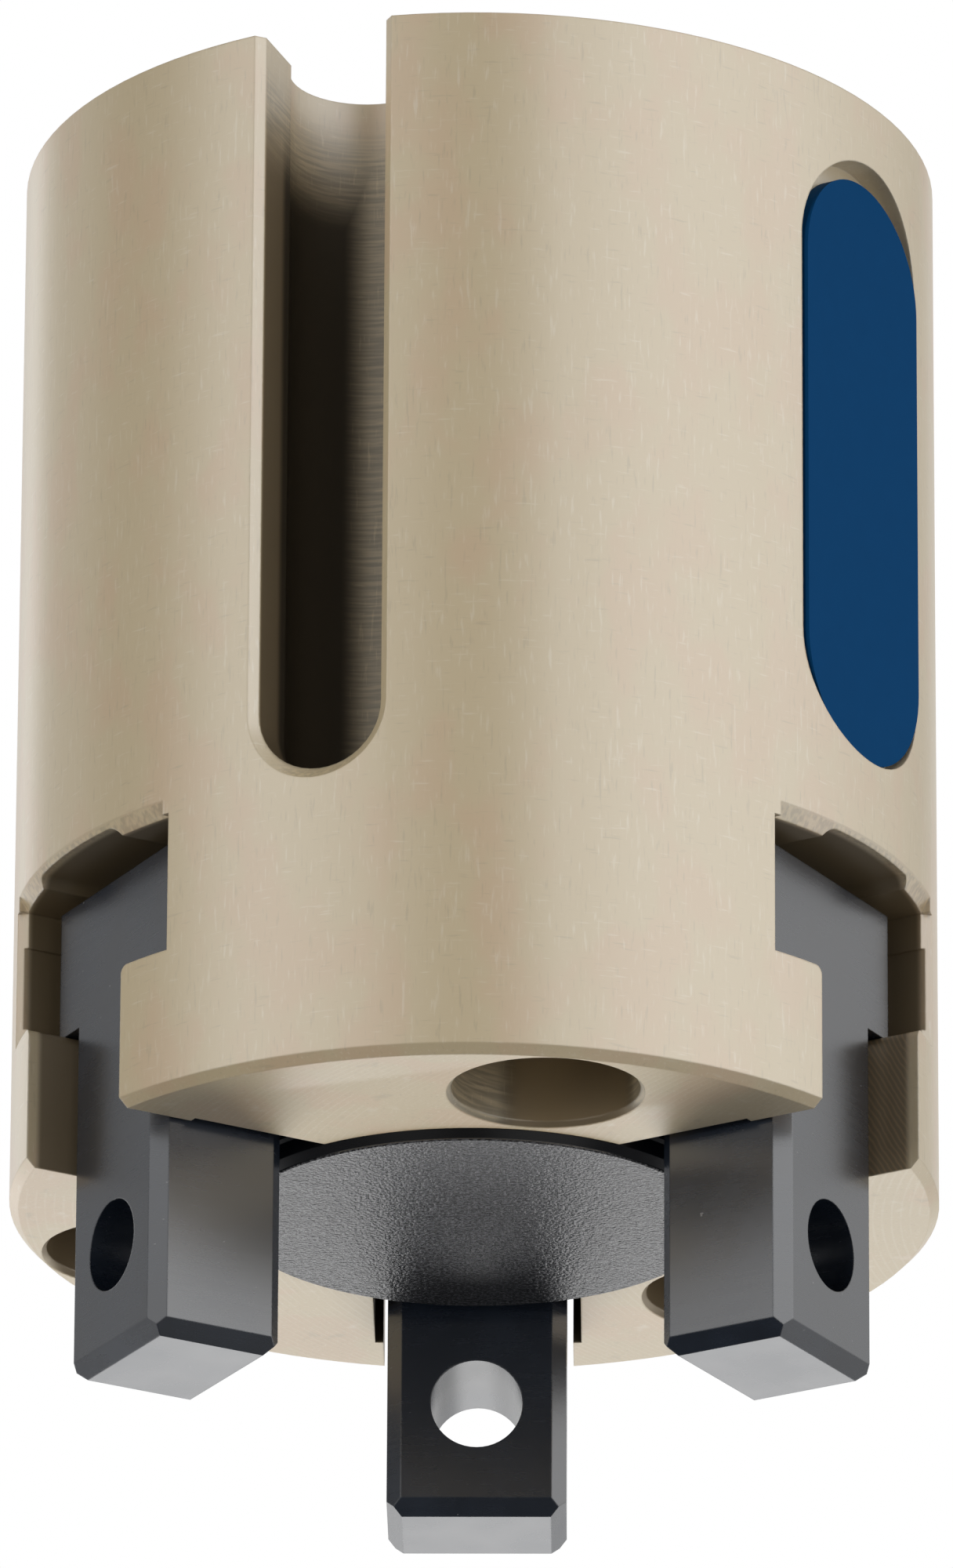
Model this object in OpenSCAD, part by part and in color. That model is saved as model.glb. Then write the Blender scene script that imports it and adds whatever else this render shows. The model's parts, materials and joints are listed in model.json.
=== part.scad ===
// Three jaw centric gripper: a round pneumatic gripper with a wedge hook drive.
// It stands on its mounting face at z = 0 and the jaws point up. Millimetres.
// A piston lifts the wedge hook, whose three sloped faces push the jaws outwards.

/* [Housing] */
// Outer diameter of the housing
body_d = 45; // [44.5:0.5:50]
// Chamfer round the front face
front_chamfer = 0.45; // [0.2:0.05:0.8]
// Bore of the air cylinder
cylinder_d = 22; // [21:0.5:22.5]
// Step in radius from the air cylinder to the rear cover's seat
cover_seat_step = 0.2; // [0.1:0.05:0.4]
// Thickness of the wall between the air cylinder and the wedge chamber
partition_t = 7.6; // [7:0.2:10]
// Radius of the wedge chamber
chamber_r = 11.2; // [11:0.1:11.6]

/* [Mounting holes] */
// Pitch circle of the mounting screws
mount_pcd = 34.5; // [34:0.25:36]
// Angle of the first mounting screw
mount_angle = 18; // [15:1:21]
// Diameter of the screw clearance holes
mount_hole_d = 5.5; // [5:0.1:5.8]
// Diameter of the screw head counterbores
mount_head_d = 9; // [8:0.1:9.4]
// Depth of the screw head counterbores
mount_head_depth = 12; // [6:0.5:14]
// Chamfer at the mouth of the counterbores
mount_chamfer = 0.26; // [0.1:0.02:0.4]
// Diameter of the locating pin hole in the mounting face
dowel_d = 3; // [2:0.5:4]
// Depth of the locating pin hole
dowel_depth = 5; // [3:0.5:8]
// Angle of the locating pin hole
dowel_angle = 320; // [318:1:324]

/* [Sensor slot] */
// Angle of the sensor slot round the housing
sensor_angle = 289.3; // [288:0.1:291]
// Width of the slot at the outside of the housing
sensor_slot_w = 6.2; // [5:0.2:6.8]
// Distance from the front face to the closed end of the slot
sensor_end_depth = 15.1; // [15:0.1:20]
// Diameter of the bore behind the slot
sensor_bore_d = 7.4; // [7:0.1:7.8]
// Radius from the gripper axis to the centre of the sensor bore
sensor_bore_r = 16.35; // [16.2:0.05:16.8]
// Chamfer along the edges of the slot
sensor_chamfer = 0.5; // [0.1:0.05:0.6]

/* [Name plate] */
// Angle of the name plate round the housing
plate_angle = 211.3; // [208:0.1:213]
// Width of the pocket
pocket_w = 10.8; // [9:0.2:12]
// Length of the pocket
pocket_len = 31.4; // [20:0.2:32]
// Distance from the mounting face to the near end of the pocket
pocket_start = 3.35; // [2:0.05:4.2]
// Depth of the flat pocket floor below the crown of the housing
pocket_depth = 1.25; // [1:0.05:1.8]
// Thickness of the plate
plate_t = 0.8; // [0.4:0.1:0.9]
// Gap between the plate and the sides of the pocket
plate_gap = 0.2; // [0.05:0.05:0.4]
// Gap between the plate and the rear end of the pocket
plate_end_gap = 0.9; // [0.2:0.1:1.4]

/* [Jaw slots] */
// Depth from the front face to the shoulder of the T-slots
shoulder_depth = 7.13; // [6:0.1:8]
// Height of the wide part of the T-slots
tslot_h = 7; // [6.6:0.1:8]
// Width of the wide part of the T-slots
tslot_w = 14.6; // [13:0.2:14.8]
// Width of the narrow part of the T-slots at the outside
stem_slot_w = 9.4; // [9:0.05:9.6]
// Extra width on each side of the narrow part, inside its outer lip
stem_relief = 0.4; // [0.1:0.05:0.5]
// Radius at which that relief ends
stem_relief_r = 18.1; // [18:0.1:20]
// Chamfer on the upright edges of the wide part
tslot_chamfer = 0.4; // [0.1:0.05:0.6]
// Rounding of the shoulder corners
shoulder_round = 0.45; // [0.2:0.05:0.6]
// Radial width of the chamfer along the rear edge of the T-slot's mouth
mouth_chamfer_w = 0.45; // [0.2:0.05:0.6]
// Height of that chamfer, along the axis
mouth_chamfer_h = 0.77; // [0.5:0.05:1]
// Depth of the entry groove below the roof of the T-slot
entry_h = 0.48; // [0.3:0.02:0.7]
// Width of the entry groove in the roof of the T-slot
entry_w = 8.2; // [8.2:0.1:9]
// Rounding of the entry groove's corners
entry_round = 0.8; // [0.4:0.05:0.8]
// Depth of the shallow relief in the side walls of the T-slot
side_relief = 0.15; // [0.05:0.05:0.3]
// Height of that side relief
side_relief_h = 4.2; // [2:0.1:5]
// Distance from the shoulder to that side relief
side_relief_z = 1; // [0.5:0.1:2]

/* [Jaws] */
// Width of the jaw stems
stem_w = 8.8; // [8.4:0.05:8.9]
// Radius of the inner faces of the jaws at rest
jaw_in_r = 12.75; // [12.7:0.05:14]
// Thickness of the jaws, along their travel
jaw_t = 7.05; // [6.5:0.05:7.5]
// Height of the jaw tips above the front face
tip_h = 10.7; // [9.5:0.1:16]
// Chamfer on the upright edges of the jaws
stem_chamfer = 0.7; // [0.3:0.05:0.9]
// Chamfer round the jaw tips
tip_chamfer = 0.75; // [0.3:0.05:1]
// Diameter of the finger screw holes in the jaws
finger_hole_d = 4.5; // [3.5:0.1:5]
// Height of the finger screw holes above the front face
finger_hole_h = 5.1; // [4:0.1:6.5]
// Width of the jaw foot at its outer face
foot_w = 11.4; // [10:0.1:12]
// Height that the outer end of the foot is relieved at its rear
foot_relief = 0.45; // [0.1:0.05:0.6]
// Travel of each jaw from rest to closed
close_travel = 0.4; // [0.2:0.05:0.4]
// Travel of each jaw from rest to open
open_travel = 3.6; // [3:0.1:4]

/* [Wedge drive] */
// Jaw travel for each millimetre of piston travel
wedge_ratio = 0.8; // [0.75:0.05:0.9]
// Distance from the axis to the sloped faces, at the top of the wedge
wedge_top_r = 4.2; // [4.1:0.1:4.6]
// Height of the round base of the wedge
wedge_base_h = 2; // [1.5:0.1:3]
// Chamfer on the rear rim of the wedge
wedge_chamfer = 0.3; // [0.1:0.05:0.6]
// Width of the hook's neck
neck_w = 2.8; // [2:0.1:3.2]
// Length of the hook's neck, measured along the jaw travel
neck_t = 1; // [0.8:0.05:1.2]
// Width of the hook's head
head_w = 4.8; // [4:0.1:5]
// Thickness of the hook's head, measured along the jaw travel
head_t = 1.3; // [1:0.05:1.4]
// Width of the hook block behind the jaw foot
block_w = 7.6; // [6:0.1:7.8]
// Distance from the axis to the nose of the hook block at rest
block_nose_r = 3; // [3:0.1:4]
// Distance from the axis to the tip of the hook's head at rest
head_nose_r = 2.1; // [2.1:0.05:2.5]
// Diameter of the piston rod
rod_d = 8; // [7:0.5:8.5]

/* [Piston] */
// Length of the piston
piston_len = 14; // [13:0.25:22]
// Diameter of the rod's spigot in the piston
spigot_d = 6; // [5.5:0.25:6.5]
// Length of the spigot
spigot_len = 6; // [5:0.5:6.5]
// Thickness of the piston between the spigot and the screw head
piston_web = 2.4; // [1.5:0.1:2.6]
// Distance from the top of the piston to the spigot's O-ring
spigot_ring_drop = 2.4; // [1.8:0.1:3]
// Diameter of the piston screw
screw_d = 4; // [3:0.5:4.5]
// Diameter of the piston screw's head
screw_head_d = 7; // [6.5:0.25:7.5]
// Height of the piston screw's head
screw_head_h = 4; // [3:0.25:4.25]
// Length of the piston screw above the piston, in the rod
screw_reach = 2; // [1:0.5:3]
// Depth of the tapped hole beyond the end of the piston screw
screw_runout = 2; // [1:0.5:3]
// Chamfer on both ends of the piston
piston_chamfer = 0.9; // [0.6:0.1:1]
// Height of the piston seal
piston_seal_h = 2.4; // [2:0.1:3]
// Height of the guide ring
guide_ring_h = 2.2; // [1.6:0.1:3]
// Height of the ring magnet
magnet_h = 3; // [2:0.1:3.2]
// Width of the lands between the rings on the piston
piston_land = 1; // [0.8:0.05:1.2]
// Depth of the ring grooves in the piston
ring_depth = 1.9; // [1.5:0.1:2.2]
// Gap between the magnet and the wall of the air cylinder
magnet_gap = 0.24; // [0.1:0.02:0.4]

/* [Covers and seals] */
// Distance from the mounting face to the retaining ring
ring_start = 1; // [0.6:0.1:1.5]
// Thickness of the retaining ring
ring_t = 1.1; // [0.9:0.1:1.4]
// Thickness of the rear cover
cover_t = 5; // [4.4:0.1:6]
// Diameter of the tapped puller hole in the rear cover
puller_d = 2.5; // [2:0.1:3.3]
// Depth of the puller hole
puller_depth = 3; // [2:0.25:3.4]
// Depth of the retaining ring grooves
ring_groove = 0.5; // [0.3:0.05:0.6]
// Width of the retaining rings, in the radial direction
ring_w = 1.6; // [1.2:0.1:2]
// Thickness of the cord of the bumper rings
bumper_cord_d = 1.1; // [0.8:0.1:1.4]
// Thickness of the O-ring cords
o_ring_d = 1.2; // [0.9:0.1:1.4]
// Radial width of the space for the rod seal
gland_w = 2.9; // [2.7:0.1:3.2]
// Distance from the end of the air cylinder to the seal's retaining ring
gland_ring_start = 0.4; // [0.3:0.05:0.6]
// Thickness of the seal's retaining ring
gland_ring_t = 0.8; // [0.6:0.1:1]
// Width of the seal's retaining ring, in the radial direction
gland_ring_w = 1.2; // [1:0.1:1.4]
// Thickness of the washer under the rod seal
washer_t = 0.8; // [0.5:0.1:1]
// Height of the space for the rod seal
rod_seal_h = 2; // [1.8:0.1:2.4]
// Wall of the rod bush
bush_wall = 1.5; // [1:0.1:1.8]
// Thickness of the bush's rim
bush_rim_h = 0.8; // [0.5:0.1:1]
// Chamfer on the rear cover
cover_chamfer = 0.3; // [0.1:0.05:0.5]
// Gap left between the piston and the end of its cylinder
end_gap = 0.5; // [0.45:0.05:1]
// Diameter of the centre cap's seat in the front face
cap_seat_d = 24.4; // [24:0.1:24.5]
// Depth of the centre cap's seat
cap_seat_depth = 3; // [2.6:0.1:3.4]
// Height that the cap stands out of the front face
cap_proud = 0.42; // [0.1:0.02:0.8]
// Chamfer on the rim of the cap
cap_chamfer = 0.45; // [0.2:0.05:0.8]
// Gap round the cap above its seating band
cap_gap = 0.15; // [0.05:0.05:0.3]
// Height of the cap's seating band
cap_band_h = 1.8; // [1:0.1:2.2]

/* [Air ports] */
// Angle of the air port above the piston, which closes the jaws
port_up_angle = 105; // [100:1:110]
// Angle of the air port below the piston, which opens the jaws
port_low_angle = 75; // [70:1:80]
// Tapping diameter of the side ports
port_d = 4.2; // [3.3:0.1:4.6]
// Depth of the side ports
port_depth = 6; // [5:0.25:6.5]
// Diameter of the flat round the side ports
port_flat_d = 8; // [7:0.25:9]
// Depth of that flat below the crown of the housing
port_flat_depth = 0.7; // [0.5:0.05:1]
// Diameter of the air passages
air_d = 2; // [1.5:0.1:2.4]
// Distance from the outside of the housing to the ports in the mounting face
direct_port_wall = 4.3; // [4.1:0.1:4.9]
// Diameter of the closing screws of the ports in the mounting face
direct_screw_d = 3; // [2.5:0.1:3.2]
// Length of those closing screws
direct_screw_len = 3.5; // [2.5:0.1:3.8]
// Distance that the O-rings of those ports lie below the mounting face
direct_sink = 0.1; // [0.05:0.05:0.3]
// Distance from those O-rings' recess to the closing screws
direct_screw_sink = 0.3; // [0.1:0.05:0.5]
// Distance from the ends of the air cylinder to the air passages
port_end_gap = 0.3; // [0.1:0.05:0.4]

/* [Fits] */
// Running clearance between sliding flat faces
slide_gap = 0.05; // [0.02:0.01:0.08]
// Radial running clearance of the piston and the rod
run_gap = 0.04; // [0.02:0.01:0.06]
// Radial clearance of parts that are put together and stay so
seat_gap = 0.02; // [0.01:0.01:0.04]
// Free space round parts that pass each other without touching
free_gap = 0.3; // [0.3:0.05:0.35]

/* [Hidden] */
$fn = 96;

jaw_angles = [90, 210, 330];
sectors = [0, 120, 240];
body_r = body_d / 2;
direct_port_r = body_r - direct_port_wall;
cylinder_r = cylinder_d / 2;
cover_r = cylinder_r + cover_seat_step;
cap_seat_r = cap_seat_d / 2;
rod_r = rod_d / 2;
eps = 0.01;
big = 40;

// Piston travel from rest to either end
lift_open = open_travel / wedge_ratio;
lift_close = close_travel / wedge_ratio;

// Heights of the air cylinder, from the mounting face up
cover_z = ring_start + ring_t;
cylinder_z = cover_z + cover_t;
piston_z = cylinder_z + end_gap + lift_close;
piston_top = piston_z + piston_len;
cylinder_top = piston_top + lift_open + end_gap;
piston_r = cylinder_r - run_gap;
groove_r = cylinder_r - ring_depth;
seal_z = piston_top - piston_chamfer - piston_seal_h;
guide_z = seal_z - piston_land - guide_ring_h;
magnet_z = guide_z - piston_land - magnet_h;
spigot_z = piston_top - spigot_len;
screw_seat_z = spigot_z - piston_web;
spigot_ring_z = piston_top - spigot_ring_drop;

// Rod guide in the partition, put in from the cylinder side
gland_r = rod_r + gland_w;
bush_r = rod_r + bush_wall;
gland_ring_z = cylinder_top + gland_ring_start;
washer_z = gland_ring_z + gland_ring_t;
rod_seal_z = washer_z + washer_t;
bush_z = rod_seal_z + rod_seal_h;
chamber_z = cylinder_top + partition_t;
bush_top = chamber_z - gland_ring_start;

// Bumper rings, in the middle of the face that the seal's groove and the piston's rim leave
bumper_in_r = gland_r + ring_groove;
bumper_out_r = piston_r - piston_chamfer;
bumper_r = (bumper_in_r + bumper_out_r) / 2;
bumper_cord_r = bumper_cord_d / 2;
bumper_sink = bumper_cord_r / 2;

// Heights of the wedge: its top stays just below the cap when the jaws are open
wedge_r = chamber_r - free_gap;
wedge_z = chamber_z + lift_close + free_gap;
slope_h = (wedge_r - wedge_top_r) / wedge_ratio;
wedge_top_z = wedge_z + wedge_base_h + slope_h;
cap_seat_z = wedge_top_z + lift_open + free_gap;

// Height of the front face, and the heights of the jaw slots below it
body_h = cap_seat_z + cap_seat_depth;
shoulder_z = body_h - shoulder_depth;
roof_z = shoulder_z - tslot_h;
entry_z = roof_z - entry_h;

// Heights and widths of the jaws
tip_z = body_h + tip_h;
foot_top = shoulder_z - slide_gap;
foot_z = roof_z + slide_gap;
block_z = entry_z + free_gap;
block_top = wedge_top_z + (wedge_top_r - block_nose_r) / wedge_ratio;
jaw_out_r = jaw_in_r + jaw_t;
guide_w = tslot_w - 4 * slide_gap;
guide_out_r = sqrt(pow(body_r, 2) - pow(guide_w / 2, 2)) - open_travel;
guide_in_r = wedge_r + free_gap + close_travel;
guide_chamfer = (guide_w - foot_w) / 2;

// Heights of the air ports, level with the ends of the piston
port_low_z = cylinder_z + port_end_gap + air_d / 2;
port_up_z = cylinder_top - port_end_gap - air_d / 2;
direct_recess = direct_sink + o_ring_d;
direct_screw_z = direct_recess + direct_screw_sink;
o_ring_r = o_ring_d / 2;

// Distance from the axis to a sloped face of the wedge at height z, at rest
function wedge_face(z) = wedge_top_r + wedge_ratio * (wedge_top_z - z);

// Puts a shape that is drawn along +X on each of the three sectors
module on_sectors(first) {
    for (turn = sectors) rotate([0, 0, first + turn]) children();
}

// Extrudes an outline drawn in the plane of the jaw travel and the axis, centred across it
module across(width) {
    rotate([90, 0, 0]) linear_extrude(height = width, center = true) children();
}

// Extrudes an outline drawn across the jaw travel outwards from a radius
module outwards(from, to) {
    translate([from, 0, 0]) rotate([90, 0, 90]) linear_extrude(height = to - from) children();
}

// Block along a sector, from one radius and height to another
module sector_block(r0, r1, width, z0, z1) {
    translate([r0, -width / 2, z0]) cube([r1 - r0, width, z1 - z0]);
}

// Slanted bar between two lines that run parallel to the sloped faces of the wedge
module slanted_bar(near, far, z0, z1, width) {
    across(width) polygon([[wedge_face(z0) + near, z0], [wedge_face(z0) + far, z0],
                           [wedge_face(z1) + far, z1], [wedge_face(z1) + near, z1]]);
}

// Outline with round ends, along the axis
module obround(width, z0, z1) {
    translate([-width / 2, z0 + width / 2]) square([width, z1 - z0 - width]);
    for (z = [z0 + width / 2, z1 - width / 2]) translate([0, z]) circle(d = width);
}

// Ring of rectangular section
module ring(r_in, r_out, z0, z1) {
    translate([0, 0, z0]) difference() {
        cylinder(r = r_out, h = z1 - z0);
        translate([0, 0, -1]) cylinder(r = r_in, h = z1 - z0 + 2);
    }
}

// O-ring whose cord has its centre at radius r and height z
module o_ring(r, z, cord_r) {
    translate([0, 0, z]) rotate_extrude() translate([r, 0]) circle(r = cord_r, $fn = 32);
}

// Plain disc with a chamfer at its upper and lower rim
module chamfered_disc(r, z0, z1, low, high) {
    rotate_extrude() polygon([[0, z0], [r - low, z0], [r, z0 + low], [r, z1 - high],
                              [r - high, z1], [0, z1]]);
}

// Inner retaining ring: open at one side, with a lug and a plier hole at each end
module retaining_ring(r_out, width, z, t) {
    gap = 3 * width;
    lug_r = 0.75 * width;
    lug_at = r_out - ring_groove - seat_gap - lug_r;
    lug_turn = asin((gap / 2 + lug_r) / lug_at);
    difference() {
        union() {
            ring(r_out - width, r_out, z, z + t);
            for (side = [-1, 1]) rotate([0, 0, side * lug_turn])
                translate([lug_at, 0, z]) cylinder(r = lug_r, h = t);
        }
        sector_block(r_out - 2 * width - lug_r, r_out + 1, gap, z - 1, z + t + 1);
        for (side = [-1, 1]) rotate([0, 0, side * lug_turn])
            translate([lug_at, 0, z - 1]) cylinder(r = lug_r / 2, h = t + 2);
    }
}

// Space that one jaw needs in the housing
module jaw_slot() {
    lip_in = stem_relief_r;
    half = stem_slot_w / 2;
    relief_top = shoulder_z - side_relief_z;
    // Narrow part with rounded shoulder corners
    outwards(0, big) difference() {
        union() {
            translate([-half, shoulder_z - eps]) square([stem_slot_w, big]);
            translate([-half - shoulder_round, shoulder_z - eps])
                square([stem_slot_w + 2 * shoulder_round, shoulder_round + eps]);
        }
        for (side = [-1, 1])
            translate([side * (half + shoulder_round), shoulder_z + shoulder_round])
                circle(r = shoulder_round);
    }
    sector_block(0, lip_in, stem_slot_w + 2 * stem_relief, shoulder_z, body_h + 1);
    // Wide part with its side relief and entry groove
    sector_block(0, big, tslot_w, roof_z, shoulder_z);
    sector_block(0, big, tslot_w + 2 * side_relief, relief_top - side_relief_h, relief_top);
    outwards(0, big) {
        translate([-entry_w / 2, entry_z + entry_round]) square([entry_w, tslot_h]);
        translate([-entry_w / 2 + entry_round, entry_z])
            square([entry_w - 2 * entry_round, tslot_h]);
        for (side = [-1, 1])
            translate([side * (entry_w / 2 - entry_round), entry_z + entry_round])
                circle(r = entry_round);
    }
    // Chamfer along the rear edge of its mouth
    difference() {
        sector_block(0, big, tslot_w, roof_z - 2 * mouth_chamfer_h, shoulder_z);
        translate([0, 0, roof_z - 2 * mouth_chamfer_h])
            cylinder(r1 = body_r + mouth_chamfer_w, r2 = body_r - mouth_chamfer_w,
                     h = 2 * mouth_chamfer_h);
    }
    // Chamfered upright edges of the wide part
    edge_s = tslot_w / 2;
    edge_r = sqrt(pow(body_r, 2) - pow(edge_s + tslot_chamfer, 2));
    for (side = [0, 1]) mirror([0, side, 0]) translate([0, 0, roof_z])
        linear_extrude(height = tslot_h)
            polygon([[edge_r - tslot_chamfer, edge_s - eps], [edge_r - tslot_chamfer, edge_s],
                     [edge_r + 1, edge_s + tslot_chamfer + 1], [body_r + 1, edge_s - eps]]);
}

// Sensor slot, drawn along +X: open at the mounting face and round at its other end
module sensor_slot() {
    end_z = body_h - sensor_end_depth;
    slot_r = sensor_slot_w / 2;
    edge_r = sqrt(pow(body_r, 2) - pow(slot_r, 2));
    outwards(sensor_bore_r, big) obround(sensor_slot_w, -big, end_z);
    translate([sensor_bore_r, 0, -1])
        cylinder(d = sensor_bore_d, h = end_z + 1);
    // Edge chamfer: along the slot and round its end
    for (side = [0, 1]) mirror([0, side, 0]) translate([0, 0, -1])
        linear_extrude(height = end_z - slot_r + 1)
            polygon([[edge_r - sensor_chamfer, slot_r - eps], [edge_r - sensor_chamfer, slot_r],
                     [edge_r + 1, slot_r + sensor_chamfer + 1], [body_r + 1, slot_r - eps]]);
    translate([edge_r - sensor_chamfer, 0, end_z - slot_r]) rotate([0, 90, 0])
        cylinder(r1 = slot_r, r2 = slot_r + sensor_chamfer + 1, h = sensor_chamfer + 1);
}

// Air port: tapped hole in the side, passage to the cylinder and port in the mounting face
module air_port(z) {
    translate([body_r - port_flat_depth, 0, z]) rotate([0, 90, 0])
        cylinder(d = port_flat_d, h = port_flat_depth + 1);
    translate([body_r - port_depth, 0, z]) rotate([0, 90, 0])
        cylinder(d = port_d, h = port_depth + 1);
    translate([cylinder_r - 1, 0, z]) rotate([0, 90, 0])
        cylinder(d = air_d, h = body_r - cylinder_r - port_depth + 2);
    translate([direct_port_r, 0, -1]) {
        cylinder(d = air_d, h = z + 1);
        cylinder(d = direct_screw_d, h = direct_screw_z + direct_screw_len + 1);
        cylinder(r = direct_screw_d / 2 + o_ring_d, h = direct_recess + 1);
    }
}

// Mounting hole with its counterbore in the front face
module mounting_hole() {
    translate([mount_pcd / 2, 0, 0]) {
        translate([0, 0, -1]) cylinder(d = mount_hole_d, h = body_h + 2);
        translate([0, 0, body_h - mount_head_depth])
            cylinder(d = mount_head_d, h = mount_head_depth + 1);
        translate([0, 0, body_h - mount_chamfer])
            cylinder(r1 = mount_head_d / 2, r2 = mount_head_d / 2 + mount_chamfer + 0.1,
                     h = mount_chamfer + 0.1);
    }
}

// Bores on the gripper axis, from the mounting face up
module axial_bores() {
    translate([0, 0, -1]) cylinder(r = cover_r, h = cylinder_z + 1);
    ring(cover_r - 1, cover_r + ring_groove, ring_start, cover_z);
    cylinder(r = cylinder_r, h = cylinder_top);
    cylinder(r = gland_r, h = bush_z);
    ring(gland_r - 1, gland_r + ring_groove, gland_ring_z, washer_z);
    cylinder(r = bush_r, h = bush_top);
    cylinder(r = rod_r + free_gap, h = chamber_z + 1);
    translate([0, 0, chamber_z]) cylinder(r = chamber_r, h = body_h);
    translate([0, 0, cap_seat_z]) cylinder(r = cap_seat_r, h = body_h);
}

// Bumper ring, whose cord has its centre at height z
module bumper(z) {
    o_ring(bumper_r, z, bumper_cord_r);
}

module housing() {
    color("burlywood") difference() {
        chamfered_disc(body_r, 0, body_h, 0, front_chamfer);
        axial_bores();
        bumper(cylinder_top + bumper_sink);
        on_sectors(mount_angle) mounting_hole();
        for (angle = jaw_angles) rotate([0, 0, angle]) jaw_slot();
        rotate([0, 0, sensor_angle]) sensor_slot();
        rotate([0, 0, plate_angle]) outwards(body_r - pocket_depth, big)
            obround(pocket_w, pocket_start, pocket_start + pocket_len);
        rotate([0, 0, port_low_angle]) air_port(port_low_z);
        rotate([0, 0, port_up_angle]) air_port(port_up_z);
        rotate([0, 0, dowel_angle]) translate([mount_pcd / 2, 0, -1])
            cylinder(d = dowel_d, h = dowel_depth + 1);
    }
}

module rear_cover() {
    groove_z = cover_z + cover_t / 2;
    color("tan") difference() {
        chamfered_disc(cover_r - seat_gap, cover_z, cylinder_z, cover_chamfer, cover_chamfer);
        ring(cover_r - o_ring_d, cover_r + 1, groove_z - o_ring_r, groove_z + o_ring_r);
        bumper(cylinder_z - bumper_sink);
        translate([0, 0, cover_z - 1]) cylinder(d = puller_d, h = puller_depth + 1);
    }
}

module cover_o_ring() {
    color("black") o_ring(cover_r - o_ring_r, cover_z + cover_t / 2, o_ring_r);
}

module cover_retaining_ring() {
    color("silver") retaining_ring(cover_r + ring_groove, ring_w, ring_start, ring_t);
}

module rear_bumper() {
    color("black") bumper(cylinder_z - bumper_sink);
}

module front_bumper() {
    color("black") bumper(cylinder_top + bumper_sink);
}

module piston() {
    color("gainsboro") difference() {
        chamfered_disc(piston_r, piston_z, piston_top, piston_chamfer, piston_chamfer);
        ring(groove_r, big, seal_z, seal_z + piston_seal_h);
        ring(groove_r, big, guide_z, guide_z + guide_ring_h);
        ring(groove_r, big, magnet_z, magnet_z + magnet_h);
        translate([0, 0, spigot_z]) cylinder(d = spigot_d, h = spigot_len + 1);
        cylinder(d = screw_d + 2 * seat_gap, h = piston_top);
        cylinder(d = screw_head_d + 2 * seat_gap, h = screw_seat_z);
        ring(screw_d / 4, spigot_d / 2 + o_ring_d, spigot_ring_z - o_ring_r, spigot_ring_z + o_ring_r);
    }
}

// Lip seal: the groove between its lips faces the pressure
module piston_seal() {
    r_out = cylinder_r - run_gap / 2;
    mid = (groove_r + r_out) / 2;
    waist = r_out - ring_depth / 8;
    lip_z = seal_z + 0.9 * piston_seal_h;
    color("dimgray") rotate_extrude()
        polygon([[groove_r, seal_z], [waist, seal_z], [waist, seal_z + 0.35 * piston_seal_h],
                 [r_out, seal_z + 0.8 * piston_seal_h], [r_out, lip_z],
                 [mid + ring_depth / 8, lip_z], [mid, seal_z + piston_seal_h / 2],
                 [mid - ring_depth / 8, lip_z], [groove_r, lip_z]]);
}

module piston_guide_ring() {
    color("saddlebrown")
        ring(groove_r, cylinder_r - run_gap / 2, guide_z, guide_z + guide_ring_h);
}

module piston_magnet() {
    color("darkslategray")
        ring(groove_r, cylinder_r - magnet_gap, magnet_z, magnet_z + magnet_h);
}

// Hexagon socket that opens downwards at height z
module hex_socket(across_corners, z, depth) {
    translate([0, 0, z - 1]) cylinder(d = across_corners, h = depth + 1, $fn = 6);
}

// Socket head screw that holds the piston on the rod's spigot
module piston_screw() {
    head_z = screw_seat_z - screw_head_h;
    color("dimgray") difference() {
        union() {
            translate([0, 0, head_z]) cylinder(d = screw_head_d, h = screw_head_h);
            translate([0, 0, head_z]) cylinder(d = screw_d, h = piston_top + screw_reach - head_z);
        }
        hex_socket(screw_head_d / 2, head_z, screw_head_h / 2);
    }
}

module spigot_o_ring() {
    color("black") o_ring(spigot_d / 2 + o_ring_r, spigot_ring_z, o_ring_r);
}

// Wedge with three sloped faces and T-slots, in one piece with the piston rod
module wedge_hook() {
    top = wedge_top_z;
    slope_z = wedge_z + wedge_base_h;
    color("slategray") difference() {
        union() {
            chamfered_disc(wedge_r, wedge_z, top, wedge_chamfer, 0);
            translate([0, 0, piston_top]) cylinder(r = rod_r, h = wedge_z - piston_top + 1);
            translate([0, 0, spigot_z]) cylinder(d = spigot_d, h = spigot_len + 1);
        }
        for (angle = jaw_angles) rotate([0, 0, angle]) {
            slanted_bar(0, big, slope_z, top + 1, big);
            slanted_bar(-neck_t - eps, big, wedge_z - 1, top + 1, neck_w + 2 * slide_gap);
            slanted_bar(-neck_t - head_t - slide_gap, slide_gap - neck_t, wedge_z - 1, top + 1,
                        head_w + 2 * slide_gap);
        }
        translate([0, 0, spigot_z - 1])
            cylinder(d = screw_d, h = spigot_len + 1 + screw_reach + screw_runout);
    }
}

module rod_bush() {
    color("peru") {
        ring(rod_r + run_gap, bush_r, bush_z - eps, bush_top);
        ring(rod_r + run_gap, gland_r - seat_gap, bush_z - bush_rim_h, bush_z);
    }
}

module rod_seal() {
    r_in = rod_r + run_gap;
    r_out = gland_r - seat_gap;
    mid = (r_in + r_out) / 2;
    top = bush_z - bush_rim_h;
    seal_h = top - rod_seal_z;
    lip_z = rod_seal_z + seal_h / 12;
    color("dimgray") rotate_extrude()
        polygon([[r_in, lip_z], [mid - seal_h / 4, lip_z], [mid, top - seal_h / 2],
                 [mid + seal_h / 4, lip_z], [r_out, lip_z], [r_out, top], [r_in, top]]);
}

module seal_washer() {
    color("silver") ring(rod_r + free_gap, gland_r - seat_gap, washer_z, rod_seal_z);
}

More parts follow.
